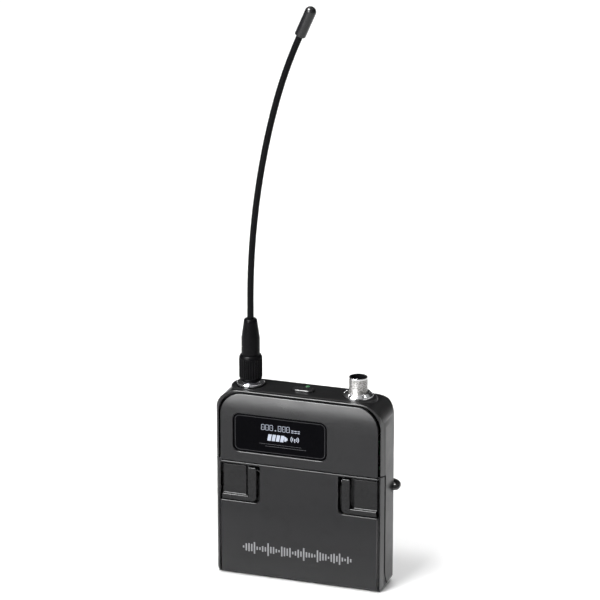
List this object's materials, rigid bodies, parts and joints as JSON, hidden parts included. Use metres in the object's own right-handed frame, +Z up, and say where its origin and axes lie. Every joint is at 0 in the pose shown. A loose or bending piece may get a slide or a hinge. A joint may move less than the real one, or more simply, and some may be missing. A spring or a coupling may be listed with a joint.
{
  "type": "wireless body-pack transmitter",
  "caption": "Flat body-pack transmitter with display, squeeze-latched battery door, screw-on whip antenna, round microphone connector and wire belt clip.",
  "frame": {"origin": "on the flat foot, in the middle of the case's width and thickness", "axes": "+Z up along the antenna, -Y out of the display, +X to the right as the display is read"},
  "size_m": [0.075, 0.0206, 0.232],
  "materials": {
    "case_plastic": "satin, fine grain",
    "panel_finish": "satin charcoal",
    "window_gloss": "polished black",
    "display": "dark panel",
    "black_plastic": "fine grain",
    "board": "solder mask",
    "steel": "plated",
    "chrome": "polished",
    "mic_metal": "satin nickel",
    "brass": "plated",
    "led": "translucent",
    "key_plastic": "satin",
    "cell_jacket": "printed jacket",
    "antenna_rubber": "satin",
    "clip_wire": "black coated steel wire",
    "foam": "closed-cell foam",
    "lead_jacket": "wire insulation"
  },
  "bodies": {
    "case": {"rear_case": "case_plastic", "front_cover": "panel_finish", "display_window": "window_gloss", "display_module": "display", "display_holder": "black_plastic", "main_board": "board", "rf_shield": "steel", "switch_board": "board", "power_switch": "black_plastic", "status_led": "led", "control_panel": "black_plastic", "control_switches": "steel", "battery_tray": "black_plastic", "upper_cell": "cell_jacket", "lower_cell": "cell_jacket", "battery_springs": "steel", "contact_link": "steel", "contact_positive": "steel", "contact_negative": "steel", "tray_screws": "steel", "case_screws": "clip_wire", "hinge_pins": "steel", "antenna_jack": "brass", "antenna_ring": "chrome", "antenna_lead": "black_plastic", "mic_shell": "mic_metal", "mic_ring_nut": "chrome", "mic_insert": "black_plastic", "mic_pins": "brass", "mic_leads": "lead_jacket", "clip_bushes": "black_plastic"},
    "door": {"battery_door": "panel_finish", "cell_pad": "foam", "latch_retainers": "black_plastic", "latch_spring_left": "steel", "latch_spring_right": "steel"},
    "left_latch": {"latch_left": "panel_finish"},
    "right_latch": {"latch_right": "panel_finish"},
    "power_key": {"power_button": "black_plastic"},
    "set_key": {"set_button": "key_plastic"},
    "down_key": {"down_button": "key_plastic"},
    "up_key": {"up_button": "key_plastic"},
    "antenna": {"antenna_sleeve": "antenna_rubber", "antenna_whip": "antenna_rubber", "antenna_cap": "antenna_rubber", "antenna_contact": "brass"},
    "collar": {"antenna_collar": "antenna_rubber"},
    "clip": {"belt_clip": "clip_wire"}
  },
  "joints": [
    {"name": "door_hinge", "type": "hinge", "parent": "case", "child": "door", "pos_m": [0, 0.0034, 0.0095], "axis": [1, 0, 0], "range_deg": [0, 90]},
    {"name": "latch_left_slide", "type": "slide", "parent": "door", "child": "left_latch", "axis": [1, 0, 0], "range_m": [0, 0.0012], "stiffness_N_per_m": 300, "springref_m": -0.001, "deforming": ["latch_spring_left"]},
    {"name": "latch_right_slide", "type": "slide", "parent": "door", "child": "right_latch", "axis": [-1, 0, 0], "range_m": [0, 0.0012], "stiffness_N_per_m": 300, "springref_m": -0.001, "deforming": ["latch_spring_right"]},
    {"name": "power_press", "type": "slide", "parent": "case", "child": "power_key", "axis": [0, 0, -1], "range_m": [0, 0.0005], "stiffness_N_per_m": 250, "springref_m": -0.0006},
    {"name": "set_press", "type": "slide", "parent": "case", "child": "set_key", "axis": [0, 1, 0], "range_m": [0, 0.0004], "stiffness_N_per_m": 250, "springref_m": -0.0006},
    {"name": "down_press", "type": "slide", "parent": "case", "child": "down_key", "axis": [0, 1, 0], "range_m": [0, 0.0004], "stiffness_N_per_m": 250, "springref_m": -0.0006},
    {"name": "up_press", "type": "slide", "parent": "case", "child": "up_key", "axis": [0, 1, 0], "range_m": [0, 0.0004], "stiffness_N_per_m": 250, "springref_m": -0.0006},
    {"name": "antenna_lift", "type": "slide", "parent": "case", "child": "antenna", "axis": [0, 0, 1], "range_m": [0, 0.00225]},
    {"name": "collar_turn", "type": "hinge", "parent": "antenna", "child": "collar", "pos_m": [-0.0229, 0, 0.085], "axis": [0, 0, 1], "range_deg": [0, 1080]},
    {"name": "clip_swing", "type": "hinge", "parent": "case", "child": "clip", "pos_m": [0, 0.0035, 0.0404], "axis": [1, 0, 0], "range_deg": [0, 18], "stiffness_Nm_per_rad": 0.15, "springref_deg": -5.73}
  ],
  "couplings": [
    {"joint": "collar_turn", "follows": "antenna_lift", "rad_per_m": 8377.6}
  ]
}
